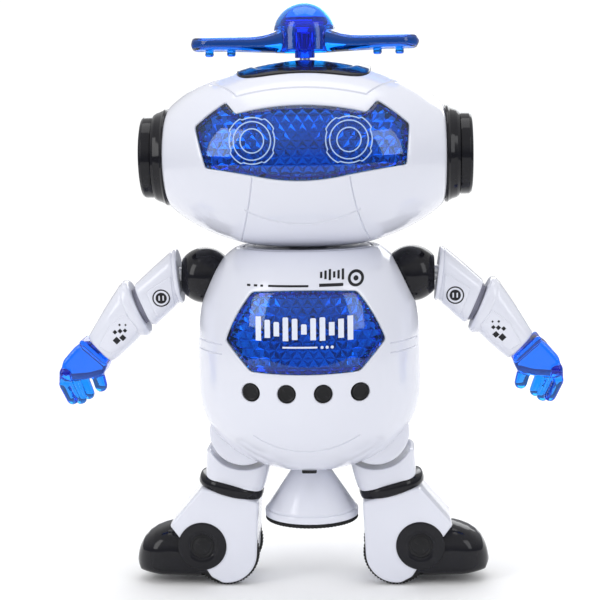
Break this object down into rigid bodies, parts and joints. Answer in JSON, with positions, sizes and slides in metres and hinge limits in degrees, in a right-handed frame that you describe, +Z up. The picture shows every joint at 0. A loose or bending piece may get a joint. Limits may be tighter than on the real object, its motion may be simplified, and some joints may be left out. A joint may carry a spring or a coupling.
{
  "type": "toy robot",
  "caption": "Toy robot with an egg-shaped head, crown rotor, turning arms with blue hands, wheeled boots that spread at the hips, and a spinning drive cone.",
  "frame": {"origin": "on the floor under the middle of the body", "axes": "+Z up, front of the robot towards -Y, +X to the viewer's right"},
  "size_m": [0.1894, 0.0958, 0.22],
  "materials": {
    "white_shell": "glossy injection-moulded ABS",
    "blue_clear": "clear royal-blue polystyrene",
    "black_gloss": "polished black ABS",
    "black_matte": "fine-textured black plastic",
    "rubber": "ribbed soft rubber",
    "reflector": "faceted metallised film",
    "board": "circuit board",
    "cell_wrap": "printed sleeve",
    "steel": "zinc-plated steel",
    "grey_plastic": "grey plastic",
    "gear_plastic": "natural acetal"
  },
  "bodies": {
    "torso": {"torso_front_shell": "white_shell", "torso_rear_shell": "white_shell", "chest_window": "blue_clear", "window_reflector": "reflector", "chest_plugs": "black_matte", "main_board": "board", "speaker": "black_matte", "battery_cells": "cell_wrap", "battery_contacts": "steel", "switch_body": "black_matte", "gearbox_frame": "grey_plastic", "motor": "steel", "neck_collar": "white_shell", "neck_washer": "steel", "torso_screws": "steel", "shoulder_ball_right": "black_gloss", "shoulder_ball_left": "black_gloss", "hip_pins": "steel"},
    "battery_door": {"battery_door": "white_shell", "battery_door_screw": "steel"},
    "switch_knob": {"switch_knob": "black_matte"},
    "cone": {"output_gear": "gear_plastic", "drive_shaft": "steel", "drive_cone": "white_shell", "cone_plate": "white_shell", "cone_tyre": "rubber"},
    "idler": {"idler_gear": "gear_plastic"},
    "pinion": {"motor_pinion": "steel"},
    "head": {"head_front_shell": "white_shell", "head_rear_shell": "white_shell", "visor": "blue_clear", "visor_reflector": "reflector", "head_board": "board", "ear_flanges": "black_gloss", "ear_caps": "black_matte", "crest_dish": "black_gloss", "rotor_post": "steel"},
    "rotor": {"rotor": "blue_clear"},
    "arm_right": {"shoulder_axle_right": "steel", "upper_arm_right": "white_shell", "elbow_pin_right": "grey_plastic"},
    "forearm_right": {"forearm_right": "white_shell"},
    "hand_right": {"hand_right": "blue_clear"},
    "leg_right": {"thigh_right": "white_shell", "ankle_ring_right": "black_gloss", "boot_shells_right": "white_shell", "toe_cap_right": "black_gloss", "boot_caps_right": "black_gloss"},
    "wheels_right": {"boot_wheels_right": "rubber"},
    "arm_left": {"shoulder_axle_left": "steel", "upper_arm_left": "white_shell", "elbow_pin_left": "grey_plastic"},
    "forearm_left": {"forearm_left": "white_shell"},
    "hand_left": {"hand_left": "blue_clear"},
    "leg_left": {"thigh_left": "white_shell", "ankle_ring_left": "black_gloss", "boot_shells_left": "white_shell", "toe_cap_left": "black_gloss", "boot_caps_left": "black_gloss"},
    "wheels_left": {"boot_wheels_left": "rubber"}
  },
  "joints": [
    {"name": "head_turn", "type": "hinge", "parent": "torso", "child": "head", "pos_m": [0, 0, 0.1302], "axis": [0, 0, 1], "range_deg": [-45, 45]},
    {"name": "rotor_spin", "type": "hinge", "parent": "head", "child": "rotor", "pos_m": [0, 0, 0.205], "axis": [0, 0, 1], "continuous": true},
    {"name": "cone_spin", "type": "hinge", "parent": "torso", "child": "cone", "pos_m": [0, 0, 0.05], "axis": [0, 0, 1], "continuous": true},
    {"name": "idler_spin", "type": "hinge", "parent": "torso", "child": "idler", "pos_m": [0, -0.02175, 0.076], "axis": [0, 0, 1], "continuous": true},
    {"name": "pinion_spin", "type": "hinge", "parent": "torso", "child": "pinion", "pos_m": [0.01375, -0.02175, 0.076], "axis": [0, 0, 1], "continuous": true},
    {"name": "battery_door_lift", "type": "slide", "parent": "torso", "child": "battery_door", "axis": [0, 1, 0], "range_m": [0, 0.015]},
    {"name": "power_switch", "type": "slide", "parent": "torso", "child": "switch_knob", "axis": [1, 0, 0], "range_m": [0, 0.004]},
    {"name": "shoulder_right", "type": "hinge", "parent": "torso", "child": "arm_right", "pos_m": [0.0394, 0, 0.1186], "axis": [1, 0, 0], "continuous": true},
    {"name": "elbow_right", "type": "hinge", "parent": "arm_right", "child": "forearm_right", "pos_m": [0.0654, 0, 0.1066], "axis": [0.9171, 0, -0.3987], "range_deg": [-60, 60]},
    {"name": "wrist_right", "type": "hinge", "parent": "forearm_right", "child": "hand_right", "pos_m": [0.0811, 0, 0.09], "axis": [0.7314, 0, -0.682], "range_deg": [-90, 90]},
    {"name": "shoulder_left", "type": "hinge", "parent": "torso", "child": "arm_left", "pos_m": [-0.0394, 0, 0.1186], "axis": [1, 0, 0], "continuous": true},
    {"name": "elbow_left", "type": "hinge", "parent": "arm_left", "child": "forearm_left", "pos_m": [-0.0654, 0, 0.1066], "axis": [-0.9171, 0, -0.3987], "range_deg": [-60, 60]},
    {"name": "wrist_left", "type": "hinge", "parent": "forearm_left", "child": "hand_left", "pos_m": [-0.0811, 0, 0.09], "axis": [-0.7314, 0, -0.682], "range_deg": [-90, 90]},
    {"name": "hip_right", "type": "hinge", "parent": "torso", "child": "leg_right", "pos_m": [0.025, 0, 0.06], "axis": [0, -1, 0], "range_deg": [0, 36]},
    {"name": "hip_left", "type": "hinge", "parent": "torso", "child": "leg_left", "pos_m": [-0.025, 0, 0.06], "axis": [0, 1, 0], "range_deg": [0, 36]},
    {"name": "wheels_right_spin", "type": "hinge", "parent": "leg_right", "child": "wheels_right", "pos_m": [0.0325, 0, 0.0127], "axis": [0, 1, 0], "continuous": true},
    {"name": "wheels_left_spin", "type": "hinge", "parent": "leg_left", "child": "wheels_left", "pos_m": [-0.0325, 0, 0.0127], "axis": [0, 1, 0], "continuous": true}
  ],
  "couplings": [
    {"joint": "idler_spin", "follows": "cone_spin", "ratio": -1.25},
    {"joint": "pinion_spin", "follows": "cone_spin", "ratio": 3},
    {"joint": "hip_left", "follows": "hip_right", "ratio": 1}
  ]
}
